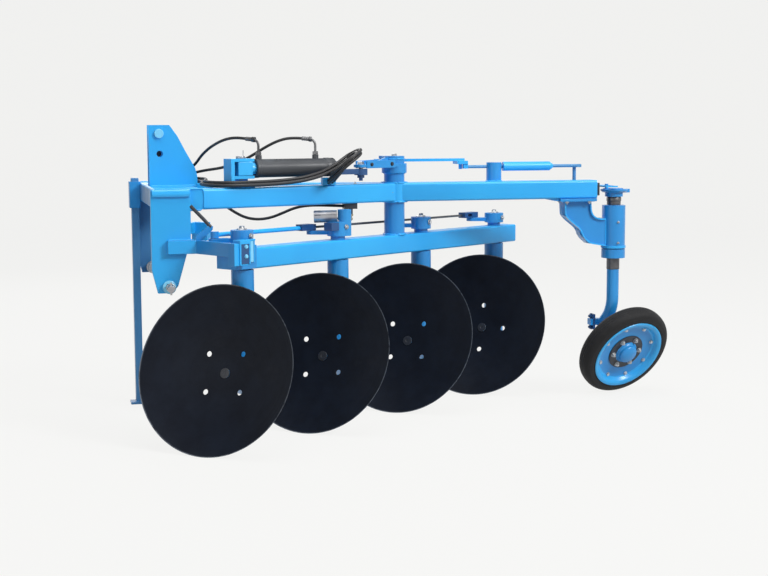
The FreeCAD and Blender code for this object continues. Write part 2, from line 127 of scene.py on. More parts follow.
# each lamp has a place, a size and a power
studio = {
    "lamps": {"keyLamp": ((5.4, -6.6, 6.2), 3.4, 780.0), "topLamp": ((0.0, -0.8, 5.4), 4.5, 185.0),
              "fillLamp": ((-4.6, -3.6, 2.4), 3.0, 34.0), "backLamp": ((-1.0, 5.2, 3.4), 3.6, 85.0)},
    "aim": (0.0, 0.0, 0.55), "floorTone": (0.46, 0.46, 0.46), "rough": 0.9, "shine": 0.1,
    "glowTone": (0.975, 0.975, 0.962), "glowShare": 0.88, "skyTone": (0.95, 0.96, 0.98), "skyPower": 0.22,
    "innerRings": (0.0, 3.0, 7.0), "floorRadius": 11.0, "wallRadius": 15.0, "wallTop": 9.0, "bendSteps": 17,
    "around": 96, "sink": 0.0005,
}


def makeLamp(name, place, size, power):
    data = bpy.data.lights.new(name, "AREA")
    data.shape = "DISK"
    data.size = size
    data.energy = power
    lamp = addObject(name, data)
    lamp.location = place
    lamp.rotation_euler = (Vector(studio["aim"]) - Vector(place)).to_track_quat("-Z", "Y").to_euler()


# gives a node's inputs, by name or number, a link or a value
def fill(tree, node, inputs):
    for key, value in inputs.items():
        socket = node.inputs[key]
        if isinstance(value, bpy.types.NodeSocket):
            tree.links.new(value, socket)
        else:
            socket.default_value = value


def addNode(tree, kind, settings=None, **inputs):
    node = tree.nodes.new("ShaderNode" + kind)
    for key, value in (settings or {}).items():
        setattr(node, key, value)
    fill(tree, node, inputs)
    return node


def mixColour(tree, amount, first, second):
    node = addNode(tree, "Mix", {"data_type": "RGBA"})
    tones = [tone if isinstance(tone, bpy.types.NodeSocket) else (*tone, 1.0) for tone in (first, second)]
    fill(tree, node, {0: amount, 6: tones[0], 7: tones[1]})
    return node.outputs[2]


def calc(tree, operation, *values, clamp=True):
    node = addNode(tree, "Math", {"operation": operation, "use_clamp": clamp})
    fill(tree, node, dict(enumerate(values)))
    return node.outputs[0]


def times(tree, first, second):
    return calc(tree, "MULTIPLY", first, second)


def plus(tree, first, second):
    return calc(tree, "ADD", first, second)


# a smooth step between two values, to 0 and 1 or to other ends
def ranged(tree, value, low, high, first=0.0, last=1.0):
    node = addNode(tree, "MapRange", {"interpolation_type": "SMOOTHSTEP"})
    fill(tree, node, dict(enumerate((value, low, high, first, last))))
    return node.outputs[0]


# noise by its scale, detail and roughness
def noise(tree, place, scale, detail=3.0, rough=0.5):
    node = addNode(tree, "TexNoise", None, Vector=place, Scale=scale, Detail=detail, Roughness=rough)
    return node.outputs["Fac"]


def patches(tree, place, grain, *limits):
    return ranged(tree, noise(tree, place, *grain), *limits)


def embossed(tree, height, strength, distance):
    return addNode(tree, "Bump", None, Height=height, Strength=strength, Distance=distance).outputs[0]


def newMaterial(name):
    material = bpy.data.materials.new(name)
    material.use_nodes = True
    tree = material.node_tree
    tree.nodes.clear()
    output = tree.nodes.new("ShaderNodeOutputMaterial")
    shader = tree.nodes.new("ShaderNodeBsdfPrincipled")
    tree.links.new(shader.outputs[0], output.inputs[0])
    return material, tree, shader, output


# a round studio: a flat floor that turns up into a wall; radius and height of each ring come from one profile
def makeStudio():
    for name, lamp in studio["lamps"].items():
        makeLamp(name, *lamp)
    bend = np.linspace(0.0, math.pi / 2, studio["bendSteps"])
    flat, wallRadius = studio["innerRings"], studio["wallRadius"]
    reach = wallRadius - studio["floorRadius"]
    radius = np.concatenate([flat, studio["floorRadius"] + reach * np.sin(bend), [wallRadius]])
    height = np.concatenate([np.zeros(len(flat)), reach * (1 - np.cos(bend)), [studio["wallTop"]]])
    profile = np.column_stack([radius, height - studio["sink"]])
    verts, faces, _ = turnedShell(profile, (0, 0, 0), upward, studio["around"])
    mesh = bpy.data.meshes.new("studioFloor")
    mesh.from_pydata(verts.tolist(), [], faces)
    mesh.polygons.foreach_set("use_smooth", [True] * len(mesh.polygons))
    material, tree, shader, output = newMaterial("paleStudio")
    fill(tree, shader, {"Base Color": (*studio["floorTone"], 1), "Roughness": studio["rough"],
                        "Specular IOR Level": studio["shine"]})
    path = addNode(tree, "LightPath")
    seen = calc(tree, "MAXIMUM", path.outputs["Is Camera Ray"], path.outputs["Is Glossy Ray"])
    glow = addNode(tree, "Emission", None, Color=(*studio["glowTone"], 1), Strength=1.0)
    mixed = addNode(tree, "MixShader")
    fill(tree, mixed, {0: times(tree, seen, studio["glowShare"]), 1: shader.outputs[0], 2: glow.outputs[0]})
    tree.links.new(mixed.outputs[0], output.inputs[0])
    mesh.materials.append(material)
    addObject("studioFloor", mesh)
    world = bpy.data.worlds.new("studioSky")
    bpy.context.scene.world = world
    world.use_nodes = True
    fill(world.node_tree, world.node_tree.nodes["Background"],
         {0: (*studio["skyTone"], 1), 1: studio["skyPower"]})
    bpy.context.scene.view_settings.view_transform = "Standard"


# surfaces as whole arrays

# rings[i, j] is a grid of points: each quad joins neighbours along i and around j, flat caps close the ends,
# and a loop joins the last ring to the first
def gridShell(rings, caps=False, loop=False):
    count, around = rings.shape[:2]
    rows = np.arange(count if loop else count - 1)
    i, j = np.meshgrid(rows, np.arange(around), indexing="ij")
    after, beside = (i + 1) % count, (j + 1) % around
    faces = np.stack([i * around + j, i * around + beside, after * around + beside, after * around + j], 2)
    u, v = np.broadcast_arrays(j / around, i / count)
    corners = np.stack([u, v, u + 1 / around, v, u + 1 / around, v + 1 / count, u, v + 1 / count], 2)
    faceList = faces.reshape(-1, 4).tolist()
    uvs = corners.reshape(-1, 2)
    if caps:
        faceList.append(list(range(around))[::-1])
        faceList.append(list(range((count - 1) * around, count * around)))
        ring = np.zeros((around, 2))
        uvs = np.concatenate([uvs, ring, ring + [0, 1]])
    return rings.reshape(-1, 3), faceList, uvs


def joined(shells):
    verts, faces, uvs, start = [], [], [], 0
    for shellVerts, shellFaces, shellUvs in shells:
        verts.append(shellVerts)
        uvs.append(shellUvs)
        faces += [[index + start for index in face] for face in shellFaces]
        start += len(shellVerts)
    return np.concatenate(verts), faces, np.concatenate(uvs)


# two directions square to an axis, and the axis itself
def squareTo(axis):
    ahead = np.asarray(axis, float) / np.linalg.norm(axis)
    helper = np.array([1.0, 0, 0]) if abs(ahead[2]) > 0.9 else np.array([0, 0, 1.0])
    side = np.cross(helper, ahead)
    side /= np.linalg.norm(side)
    return side, np.cross(ahead, side), ahead


# directions from an axis to points around it
def circleAbout(axis, angle):
    side, up, _ = squareTo(axis)
    return np.outer(np.cos(angle), side) + np.outer(np.sin(angle), up)


# a profile of (radius, height) pairs turned about an axis: place + radius * (cos, sin) + height * axis
def turnedShell(profile, place, axis, around=48, phase=0.0, loop=False):
    radius, height = np.asarray(profile, float).T
    circle = circleAbout(axis, np.linspace(0, 2 * math.pi, around, endpoint=False) + phase)
    ahead = squareTo(axis)[2]
    rings = np.asarray(place) + radius[:, None, None] * circle[None] + height[:, None, None] * ahead
    return gridShell(rings, loop=loop)


# a circle carried along a path with the least twist; the radius may change from ring to ring
def tubeShell(path, radius, around=16):
    path = np.asarray(path, float)
    ways = np.gradient(path, axis=0)
    ways /= np.linalg.norm(ways, axis=1)[:, None]
    side, up, _ = squareTo(ways[0])
    sides, ups = [], []
    for way in ways:
        side = side - way * (side @ way)
        side /= np.linalg.norm(side)
        sides.append(side)
        ups.append(np.cross(way, side))
    sides, ups = np.array(sides), np.array(ups)
    angle = np.linspace(0, 2 * math.pi, around, endpoint=False)
    size = np.broadcast_to(radius, len(path))[:, None, None]
    circle = np.cos(angle)[None, :, None] * sides[:, None] + np.sin(angle)[None, :, None] * ups[:, None]
    return gridShell(path[:, None] + size * circle, caps=True)


# points every step mm along straight runs, and how far along each lies
def alongRuns(points, step):
    points = np.asarray(points, float)
    lengths = np.linalg.norm(np.diff(points, axis=0), axis=1)
    marks = np.concatenate([[0], np.cumsum(lengths)])
    wanted = np.linspace(0, marks[-1], max(3, int(marks[-1] / step)))
    return np.stack([np.interp(wanted, marks, points[:, axis]) for axis in range(3)], 1), wanted


# each point of a path moved to the middle of the five around it
def softened(path):
    kernel = np.ones(5) / 5
    padded = np.concatenate([np.repeat(path[:1], 2, 0), path, np.repeat(path[-1:], 2, 0)])
    return np.stack([np.convolve(padded[:, axis], kernel, "valid") for axis in range(3)], 1)


# places a ready object on its body, and hides the nodes it stands for
def settle(piece, body, replaced=()):
    if replaced:
        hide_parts(*replaced)
    if body:
        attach(piece, body)
    return piece


def closeMesh(mesh):
    work = bmesh.new()
    work.from_mesh(mesh)
    bmesh.ops.remove_doubles(work, verts=work.verts, dist=2e-6)
    bmesh.ops.recalc_face_normals(work, faces=work.faces)
    work.to_mesh(mesh)
    work.free()


def smoothFaces(mesh, degrees):
    mesh.polygons.foreach_set("use_smooth", [True] * len(mesh.polygons))
    mesh.set_sharp_from_angle(angle=math.radians(degrees))


def addPiece(name, shells, finish, body, smooth=35.0, replaced=()):
    verts, faces, uvs = joined(shells)
    mesh = bpy.data.meshes.new(name)
    mesh.from_pydata(row(verts).tolist(), [], faces)
    layer = mesh.uv_layers.new(name="surface")
    layer.data.foreach_set("uv", uvs.ravel())
    closeMesh(mesh)
    smoothFaces(mesh, smooth)
    mesh.materials.append(finishes[finish])
    return settle(addObject(name, mesh), body, replaced)


# a soft bevel on every hard edge
def breakEdges(piece, width):
    edge = piece.modifiers.new("brokenEdges", "BEVEL")
    edge.width = width / 1000.0
    edge.segments = 2
    edge.limit_method = "ANGLE"
    edge.angle_limit = math.radians(38.0)
    edge.harden_normals = True


# a solid between rings of corners, and a box between two corners, which a turning function may place
def slabShell(rings, place=None):
    verts, faces, uvs = gridShell(np.asarray(rings, float), caps=True)
    return (place(verts) if place else verts), faces, uvs


def blockShell(low, high, place=None):
    (x0, y0, z0), (x1, y1, z1) = low, high
    return slabShell([[(x0, y0, z), (x1, y0, z), (x1, y1, z), (x0, y1, z)] for z in (z0, z1)], place)


# measures of points in mm: on the three axes, along the tie bar from its front end, along the cylinder,
# and out from the tail wheel's axis
measures = {
    "x": lambda spots: spots[:, 0],
    "y": lambda spots: spots[:, 1],
    "z": lambda spots: spots[:, 2],
    "tieBar": lambda spots: turnedPoints(spots, -machine["beamAngle"])[:, 0] - machine["firstStation"] + 67.5,
    "cylinder": lambda spots: (spots - cylinderBase) @ cylinderWay,
    "wheel": lambda spots: np.linalg.norm(np.cross(spots - wheelSet["centre"], wheelAxis()), axis=1),
}


# faces of a finished piece whose middles lie between all limits get another finish
def repaint(piece, finish, limits):
    mesh = piece.data
    middles = np.zeros(len(mesh.polygons) * 3)
    mesh.polygons.foreach_get("center", middles)
    spots = middles.reshape(-1, 3) * 1000.0 + machineMiddle
    chosen = np.ones(len(spots), bool)
    for kind, (low, high) in limits.items():
        measure = measures[kind](spots)
        chosen &= (measure > low) & (measure < high)
    mesh.materials.append(finishes[finish])
    index = np.zeros(len(mesh.polygons), int)
    mesh.polygons.foreach_get("material_index", index)
    index[chosen] = len(mesh.materials) - 1
    mesh.polygons.foreach_set("material_index", index.tolist())


# finishes

# light and deep tone, roughness and coat
paintLooks = {
    "bluePaint": ((0.026, 0.44, 0.90), (0.020, 0.385, 0.85), 0.34, 0.14),
    # shadedBluePaint is a darker copy of bluePaint: painted shade on the posts, standards, tail parts and
    # faces turned from the key lamp
    "shadedBluePaint": ((0.022, 0.295, 0.70), (0.016, 0.245, 0.62), 0.34, 0.14),
    # shadePaint is a darker, greyer blue: painted shade on the far hitch plate's inner face and the cross
    # beam's front end, and the darker colour of the parking leg and the push rod's thin rods
    "shadePaint": ((0.070, 0.265, 0.53), (0.048, 0.20, 0.43), 0.42, 0.10),
    "greyPaint": ((0.042, 0.047, 0.055), (0.022, 0.025, 0.030), 0.48, 0.04),
    "darkPaint": ((0.018, 0.022, 0.032), (0.009, 0.011, 0.017), 0.45, 0.10),
    "navyPaint": ((0.016, 0.085, 0.24), (0.010, 0.055, 0.17), 0.40, 0.15),
    # cyanHighlightPaint is a light cyan paint for pins, collars, stop bolts and a housing strip, made bright
    # to stand in partly for painted highlights
    "cyanHighlightPaint": ((0.24, 0.68, 0.95), (0.19, 0.60, 0.88), 0.30, 0.30),
}
paintSet = {
    "drift": (2.3, 4.0), "dust": (14.0, 8.0, 0.7), "wear": (38.0, 6.0, 0.65), "specks": (160.0, 2.0),
    "streaks": (7.0, 9.0, 0.62), "peel": (420.0, 2.0), "wave": (60.0, 3.0), "dustTone": (0.42, 0.50, 0.56),
    "dustShare": 0.14, "dustRough": 0.25, "edgeTone": (0.26, 0.30, 0.34), "edgeWidth": 0.0024,
    "wornShare": 0.55, "wornRough": 0.2, "speckShare": 0.35, "coatRough": 0.12, "peelShare": 0.35,
    "waveShare": 0.4,
}


# gloss paint: slow tone drift, settled dust on faces that look up, rubbed edges, a faint orange peel
def makePaint(name, look):
    light, deep, rough, coat = look
    material, tree, shader, _ = newMaterial(name)
    place = addNode(tree, "TexCoord").outputs["Object"]
    normal = addNode(tree, "NewGeometry").outputs["Normal"]
    colour = mixColour(tree, patches(tree, place, paintSet["drift"], 0.3, 0.7), deep, light)
    level = addNode(tree, "SeparateXYZ", None, Vector=normal).outputs["Z"]
    dust = patches(tree, place, paintSet["dust"], 0.45, 0.8)
    settled = times(tree, ranged(tree, level, 0.5, 1.0), dust)
    colour = mixColour(tree, times(tree, settled, paintSet["dustShare"]), colour, paintSet["dustTone"])
    rounded = addNode(tree, "Bevel", {"samples": 4}, Radius=paintSet["edgeWidth"]).outputs[0]
    facing = addNode(tree, "VectorMath", {"operation": "DOT_PRODUCT"})
    fill(tree, facing, {0: rounded, 1: normal})
    edge = ranged(tree, facing.outputs["Value"], 0.80, 0.985, 1.0, 0.0)
    rubbed = times(tree, edge, patches(tree, place, paintSet["wear"], 0.54, 0.66))
    specks = times(tree, patches(tree, place, paintSet["specks"], 0.755, 0.79), paintSet["speckShare"])
    worn = calc(tree, "MAXIMUM", times(tree, rubbed, paintSet["wornShare"]), specks)
    gloss = patches(tree, place, paintSet["streaks"], 0.3, 0.75, rough - 0.06, rough + 0.10)
    gloss = plus(tree, gloss, times(tree, settled, paintSet["dustRough"]))
    peel = times(tree, noise(tree, place, *paintSet["peel"]), paintSet["peelShare"])
    wave = times(tree, noise(tree, place, *paintSet["wave"]), paintSet["waveShare"])
    relief = calc(tree, "SUBTRACT", plus(tree, peel, wave), times(tree, worn, 0.4))
    fill(tree, shader, {"Base Color": mixColour(tree, worn, colour, paintSet["edgeTone"]),
                        "Roughness": plus(tree, gloss, times(tree, worn, paintSet["wornRough"])),
                        "Coat Weight": coat, "Coat Roughness": paintSet["coatRough"],
                        "Normal": embossed(tree, relief, 0.10, 0.0012)})
    return material


# light and deep tone, metal and roughness; a ground rim's tone and a shine for the discs
metalLooks = {
    "discSteel": ((0.0060, 0.0095, 0.0185), (0.0030, 0.0050, 0.0110), 0.0, 0.50, (0.20, 0.23, 0.27), 0.16),
    "zincSteel": ((0.58, 0.59, 0.60), (0.36, 0.37, 0.38), 0.85, 0.34),
    "fittingSteel": ((0.20, 0.20, 0.205), (0.075, 0.075, 0.08), 0.8, 0.36),
    "bareSteel": ((0.47, 0.47, 0.49), (0.25, 0.25, 0.27), 0.9, 0.38),
    "chromeSteel": ((0.78, 0.79, 0.80), (0.66, 0.67, 0.69), 1.0, 0.12),
    "brassSteel": ((0.50, 0.42, 0.25), (0.28, 0.23, 0.14), 0.8, 0.40),
}
metalSet = {
    "tone": (9.0, 6.0, 0.6), "dull": (45.0, 5.0, 0.7), "ragged": (30.0, 6.0, 0.7), "soil": (5.0, 8.0, 0.7),
    "drawn": (40.0, 40.0, 900.0), "turned": (5.0, 220.0, 1.0), "rimReach": (0.002, 0.022),
    "soilTone": (0.018, 0.020, 0.028), "soilShare": 0.35, "dullRough": 0.12, "scratchShare": 0.5,
    "dullShare": 0.3,
}


# bare or oiled metal: two tones, fine drawn scratches and a few dull spots
# a metal with a rim is turned: its scratches follow its own map, and its edge is ground
def makeMetal(name, look):
    light, deep, metal, rough, *rim = look
    material, tree, shader, _ = newMaterial(name)
    coords = addNode(tree, "TexCoord")
    place, spread = coords.outputs["Object"], coords.outputs["UV"]
    colour = mixColour(tree, patches(tree, place, metalSet["tone"], 0.3, 0.7), deep, light)
    if rim:
        stretched = addNode(tree, "Mapping", None, Vector=spread, Scale=metalSet["turned"]).outputs[0]
        scratches = noise(tree, stretched, 1.0, 5.0, 0.7)
        height = addNode(tree, "SeparateXYZ", None, Vector=spread).outputs["Y"]
        apart = calc(tree, "ABSOLUTE", calc(tree, "SUBTRACT", height, 0.5, clamp=False))
        ground = ranged(tree, apart, *metalSet["rimReach"], 1.0, 0.0)
        ragged = patches(tree, place, metalSet["ragged"], 0.25, 0.6)
        colour = mixColour(tree, times(tree, ground, ragged), colour, rim[0])
        soil = times(tree, patches(tree, place, metalSet["soil"], 0.5, 0.78), metalSet["soilShare"])
        colour = mixColour(tree, soil, colour, metalSet["soilTone"])
        fill(tree, shader, {"Specular IOR Level": rim[1]})
    else:
        stretched = addNode(tree, "Mapping", None, Vector=place, Scale=metalSet["drawn"]).outputs[0]
        scratches = noise(tree, stretched, 1.0, 3.0)
    dull = patches(tree, place, metalSet["dull"], 0.58, 0.72)
    rough = ranged(tree, scratches, 0.3, 0.7, rough - 0.07, rough + 0.10)
    scratched = times(tree, scratches, metalSet["scratchShare"])
    relief = plus(tree, scratched, times(tree, dull, metalSet["dullShare"]))
    fill(tree, shader, {"Base Color": colour, "Metallic": metal,
                        "Roughness": plus(tree, rough, times(tree, dull, metalSet["dullRough"])),
                        "Normal": embossed(tree, relief, 0.12, 0.0006)})
    return material


# light and deep tone, scale of the grain, roughness and shine
rubberLooks = {
    "tyreRubber": ((0.017, 0.017, 0.018), (0.009, 0.009, 0.010), 260.0, 0.66, 0.22),
    "hoseRubber": ((0.028, 0.028, 0.030), (0.012, 0.012, 0.013), 500.0, 0.48, 0.42),
}
rubberSet = {"fade": (6.0, 6.0, 0.6), "bloom": (22.0, 8.0, 0.7), "bloomShare": 0.07,
             "bloomTone": (0.16, 0.155, 0.15), "sheen": 0.06}


# black rubber: faded patches, a grey dusty bloom and a fine grain
def makeRubber(name, look):
    light, deep, grain, rough, shine = look
    material, tree, shader, _ = newMaterial(name)
    place = addNode(tree, "TexCoord").outputs["Object"]
    fade = patches(tree, place, rubberSet["fade"], 0.3, 0.7)
    colour = mixColour(tree, fade, deep, light)
    bloom = times(tree, patches(tree, place, rubberSet["bloom"], 0.5, 0.8), rubberSet["bloomShare"])
    cells = addNode(tree, "TexVoronoi", None, Vector=place, Scale=grain).outputs["Distance"]
    fill(tree, shader, {"Base Color": mixColour(tree, bloom, colour, rubberSet["bloomTone"]),
                        "Roughness": ranged(tree, fade, 0.0, 1.0, rough - 0.06, rough + 0.08),
                        "Sheen Weight": rubberSet["sheen"], "Specular IOR Level": shine,
                        "Normal": embossed(tree, cells, 0.15, 0.0006)})
    return material


makeCamera()
makeStudio()
finishes = {name: makePaint(name, look) for name, look in paintLooks.items()}
finishes |= {name: makeMetal(name, look) for name, look in metalLooks.items()}
finishes |= {name: makeRubber(name, look) for name, look in rubberLooks.items()}
print("camera, studio and finishes made")


# hoses

hoseRoutes = {
    "hose_front": [(-671, -236.6, 1172), (-706, -210, 1178), (-752, -160, 1170), (-796, -94, 1142),
        (-828, -24, 1106), (-846, 42, 1068), (-872, 84, 1042), (-906, 112, 1024)],
    "hose_rear": [(-432, -179.4, 1172), (-480, -169, 1176), (-534, -155, 1162), (-586, -140, 1134),
        (-636, -115, 1100), (-690, -74, 1070), (-750, -22, 1050), (-812, 34, 1040), (-862, 92, 1026),
        (-906, 136, 1016)],
    "hose_beam": [(-900, 98, 992), (-860, 96, 992), (-828, 66, 992), (-815, 12, 992), (-815, -55, 991),
        (-825, -125, 990), (-840, -195, 989), (-839, -260, 989), (-817, -318, 988), (-776, -362, 988),
        (-717, -351, 988), (-655, -324, 988), (-596, -296, 989), (-530, -273, 992), (-465, -256, 998),
        (-405, -244, 1009), (-350, -236, 1026), (-304, -223, 1050), (-270, -205, 1072), (-238, -198, 1092),
        (-209, -233, 1112), (-208, -283, 1112), (-238, -318, 1092), (-274, -327, 1066), (-304, -312, 1038),
        (-322, -276, 1013), (-328, -232, 996), (-326, -190, 988)],
    "hose_under": [(-245, -95, 888), (-290, -90, 890), (-345, -80, 892), (-400, -70, 891),
        (-450, -62, 881), (-500, -60, 860), (-548, -60, 842), (-602, -60, 835), (-656, -60, 844),
        (-704, -60, 870), (-748, -60, 902), (-802, -60, 930), (-868, -60, 940)],
}
hoseSet = {"radius": 6.0, "bundleRadius": 6.5, "around": 14, "ferruleLength": 34.0, "ferruleRadius": 8.8,
           "pinches": 4, "pinchDepth": 0.9, "ferruleEnd": 0.8,
           "bundle": {"hose_beam": (0.0, 0.0), "hose_twin": (0.0, 13.8), "hose_third": (14.4, 3.0)},
           "lengths": {"hose_front": 0.461, "hose_rear": 0.612, "hose_under": 0.658,
                       "hose_beam": 1.475, "hose_twin": 1.479, "hose_third": 1.42}}


# the smooth line that a hose's points draw, as a NURBS spline gives it
def smoothLine(points):
    curve = bpy.data.curves.new("hoseLine", "CURVE")
    curve.dimensions = "3D"
    curve.resolution_u = 10
    spline = curve.splines.new("NURBS")
    spline.points.add(len(points) - 1)
    spline.points.foreach_set("co", np.column_stack([row(points), np.ones(len(points))]).ravel())
    spline.order_u = 3
    spline.use_endpoint_u = True
    holder = addObject("hoseLine", curve)
    bpy.context.view_layer.update()
    line = bpy.data.meshes.new_from_object(holder)
    co = np.zeros(len(line.vertices) * 3)
    line.vertices.foreach_get("co", co)
    bpy.data.objects.remove(holder)
    bpy.data.meshes.remove(line)
    return co.reshape(-1, 3) * 1000.0 + machineMiddle


# a crimped sleeve: a turned profile with pinched rings
def ferruleShell(place, way):
    length, size = hoseSet["ferruleLength"], hoseSet["ferruleRadius"]
    along = np.linspace(0, length, 40)
    pinched = np.clip(np.cos(along / length * 2 * math.pi * hoseSet["pinches"]), 0, 1)
    radius = size - hoseSet["pinchDepth"] * pinched
    end = size * hoseSet["ferruleEnd"]
    return turnedShell([(0, 0), (end, 0), *zip(radius, along), (end, length), (0, length)], place, way, 24)


# a line kept beside another: out to its side, level with the ground, and up square to it
def beside(line, side, rise):
    way = np.gradient(line, axis=0)
    way /= np.linalg.norm(way, axis=1)[:, None]
    outward = np.cross(way, [0, 0, 1.0])
    outward /= np.linalg.norm(outward, axis=1)[:, None]
    return line + outward * side + np.cross(outward, way) * rise


def layHose(node, line, radius, body):
    shell = tubeShell(line, radius, hoseSet["around"])
    piece = addPiece(node + "Rubber", [shell], "hoseRubber", body, 60, (node,))
    return piece


def makeHoses():
    for node in ("hose_front", "hose_rear"):
        line = smoothLine(hoseRoutes[node])
        bendWithBarrel(layHose(node, line, hoseSet["radius"], None))
    layHose("hose_under", smoothLine(hoseRoutes["hose_under"]), hoseSet["radius"], "frame")
    line = smoothLine(hoseRoutes["hose_beam"])
    for node, (side, rise) in hoseSet["bundle"].items():
        layHose(node, beside(line, side, rise), hoseSet["bundleRadius"], "frame")
    print("hoses laid")


# bakes a piece's placement into its mesh; the piece is left on no body
def bendWithBarrel(piece):
    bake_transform(piece)


makeHoses()


# carried-over shapes with broken edges and smooth rounds

dressSet = {"merge": 1e-5, "flat": 0.6, "smooth": 32.0, "bevel": 1.6}


def dressed(node, finish, bevel=dressSet["bevel"]):
    source = nodes[node]
    mesh = source.data.copy()
    work = bmesh.new()
    work.from_mesh(mesh)
    bmesh.ops.remove_doubles(work, verts=work.verts, dist=dressSet["merge"])
    flat = math.radians(dressSet["flat"])
    bmesh.ops.dissolve_limit(work, angle_limit=flat, verts=work.verts, edges=work.edges)
    work.to_mesh(mesh)
    work.free()
    mesh.materials.clear()
    mesh.materials.append(finishes[finish])
    mesh.polygons.foreach_set("material_index", [0] * len(mesh.polygons))
    smoothFaces(mesh, dressSet["smooth"])
    piece = addObject(node + "Dressed", mesh)
    breakEdges(piece, bevel)
    return settle(piece, source["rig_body"], (node,))


cylinderSet = {"base": (-705.0, -292.0, 1054.0), "lever": 215.0}
cylinderBase = np.array(cylinderSet["base"])
cylinderWay = onBeam([-cylinderSet["lever"], 0, cylinderBase[2]]) - cylinderBase
cylinderLength = float(np.linalg.norm(cylinderWay))
cylinderWay /= cylinderLength


def cylinderAt(distance):
    return cylinderBase + cylinderWay * distance


# points given along and across the cylinder, or about its seat, placed in the machine
def onCylinder(points):
    side = np.array([-cylinderWay[1], cylinderWay[0], 0.0])
    points = np.asarray(points, float)
    return cylinderBase + points[:, :1] * cylinderWay + points[:, 1:2] * side + points[:, 2:] * [0, 0, 1.0]


def onSeat(points):
    x, y, _ = cylinderBase
    return turnedPoints(points, math.degrees(math.atan2(y, x)) + 180.0) + [x, y, 0]


dressList = {
    "bluePaint": ["rear_beam", "near_front_beam", "far_front_beam", "pivot_housing", "cross_beam",
                  "mast_plates", "near_hitch_plate", "near_stop_arm", "far_stop_arm", "cylinder_seat",
                  "lower_beam", "push_rod"],
    # these parts take the darker copy of the blue paint as painted shade
    "shadedBluePaint": ["far_hitch_plate", "leg_sleeve", "tail_bracket", "guide_post", "front_housing",
                      "pivot_post", "swing_lever", "top_crank", "tail_crank", "crank_lever",
                      *(kind + k for k in "1234" for kind in ("standard_", "arm_"))],
    "darkPaint": ["beam_plug", "fitting_blocks"],
    "shadePaint": ["parking_leg"],
    "greyPaint": ["cylinder_barrel"],
    "bareSteel": ["lock_sleeve", "near_hitch_pin", "far_hitch_pin", "cylinder_pin"],
    # the top pin's light cyan is partly a painted highlight
    "cyanHighlightPaint": ["top_pin"],
    "fittingSteel": ["tie_bar"],
    "chromeSteel": ["cylinder_rod"],
}
# node, finish and limits in mm, in order: a later one goes over an earlier one
repaintList = [
    ("tie_bar", "bluePaint", {"tieBar": (30, 460)}),
    ("tie_bar", "navyPaint", {"tieBar": (453, 557)}),
    ("tie_bar", "navyPaint", {"tieBar": (1540, endless)}),
    ("tie_bar", "shadedBluePaint", {"tieBar": (-endless, 25)}),
    ("fitting_blocks", "bluePaint", {"x": (-364, -284), "z": (975, endless)}),
    ("cylinder_barrel", "bluePaint", {"cylinder": (-endless, 59)}),
    ("cylinder_rod", "navyPaint", {"cylinder": (cylinderLength - 124, endless)}),
    # painted shade on the far hitch plate's inner face
    ("far_hitch_plate", "shadePaint", {"y": (-endless, 415.5)}),
    ("push_rod", "shadePaint", {"x": (336, 494)}),
    ("push_rod", "shadePaint", {"x": (729, endless), "z": (957, endless)}),
    # painted shade on the near stop arm's angled outer face
    ("near_stop_arm", "shadedBluePaint", {"x": (-endless, -795), "y": (-endless, -500)}),
    # painted shade on the cross beam's front end face
    ("cross_beam", "shadePaint", {"x": (-endless, -1057.5)}),
]


def dressAll():
    made = {}
    for finish, names in dressList.items():
        made |= {node: dressed(node, finish) for node in names}
    for node, finish, limits in repaintList:
        repaint(made[node], finish, limits)
    print("carried-over shapes dressed")


dressAll()


# discs

discSet = {"radius": 330.0, "dish": 85.0, "thick": 6.0, "tilt": 18.35, "ahead": 200.7, "side": 15.1,
           "eye": 19.0, "holeCircle": 104.0, "holeRadius": 11.0, "phases": (48.0, 52.0, 48.0, 0.0),
           "around": 160, "drillStart": 30.0, "drillDepth": 190.0, "nuts": 5, "nutCircle": 58.0,
           "nutPhase": 20.0}


# the middle of disc k's rim, its axis, and two directions across it
def discFrame(k):
    tilt = math.radians(discSet["tilt"])
    centre = np.array([-discSet["ahead"], discSet["side"], discSet["radius"] * math.cos(tilt)])
    axis = onStation([-math.cos(tilt), 0, math.sin(tilt)], k) - stationAt(k)
    across = onStation([0, 1, 0], k) - stationAt(k)
    return onStation(centre, k), axis, across, np.cross(axis, across)


# points on a circle about disc k's middle, from an angle in degrees
def discCircle(k, radius, count, phase):
    centre, _, across, up = discFrame(k)
    angle = np.radians(np.arange(count) * 360.0 / count + phase)
    return centre + radius * (np.outer(np.cos(angle), across) + np.outer(np.sin(angle), up))


# a spherical bowl: at radius r the front face lies sqrt(R^2 - r^2) below the ball's centre, and the back is a
# little further out, with a ground edge between them
def discShell(k):
    ball = (discSet["radius"] ** 2 + discSet["dish"] ** 2) / (2 * discSet["dish"])
    out = discSet["radius"]
    front = np.append(np.linspace(discSet["eye"], out - 4.0, 44), [out - 1.2, out - 0.6])
    back = np.linspace(out - 5.0, discSet["eye"], 40)
    depth = ball - discSet["dish"]
    frontHeight = depth - np.sqrt(ball ** 2 - front ** 2)
    outer = ball + discSet["thick"]
    backHeight = depth - np.sqrt(outer ** 2 - back ** 2)
    edge = [(out - 0.2, -0.4), (out - 1.1, -2.8), (out - 3.1, -7.8)]
    profile = [*zip(front, frontHeight), *edge, *zip(back, backHeight)]
    return turnedShell(profile, *discFrame(k)[:2], discSet["around"], loop=True)


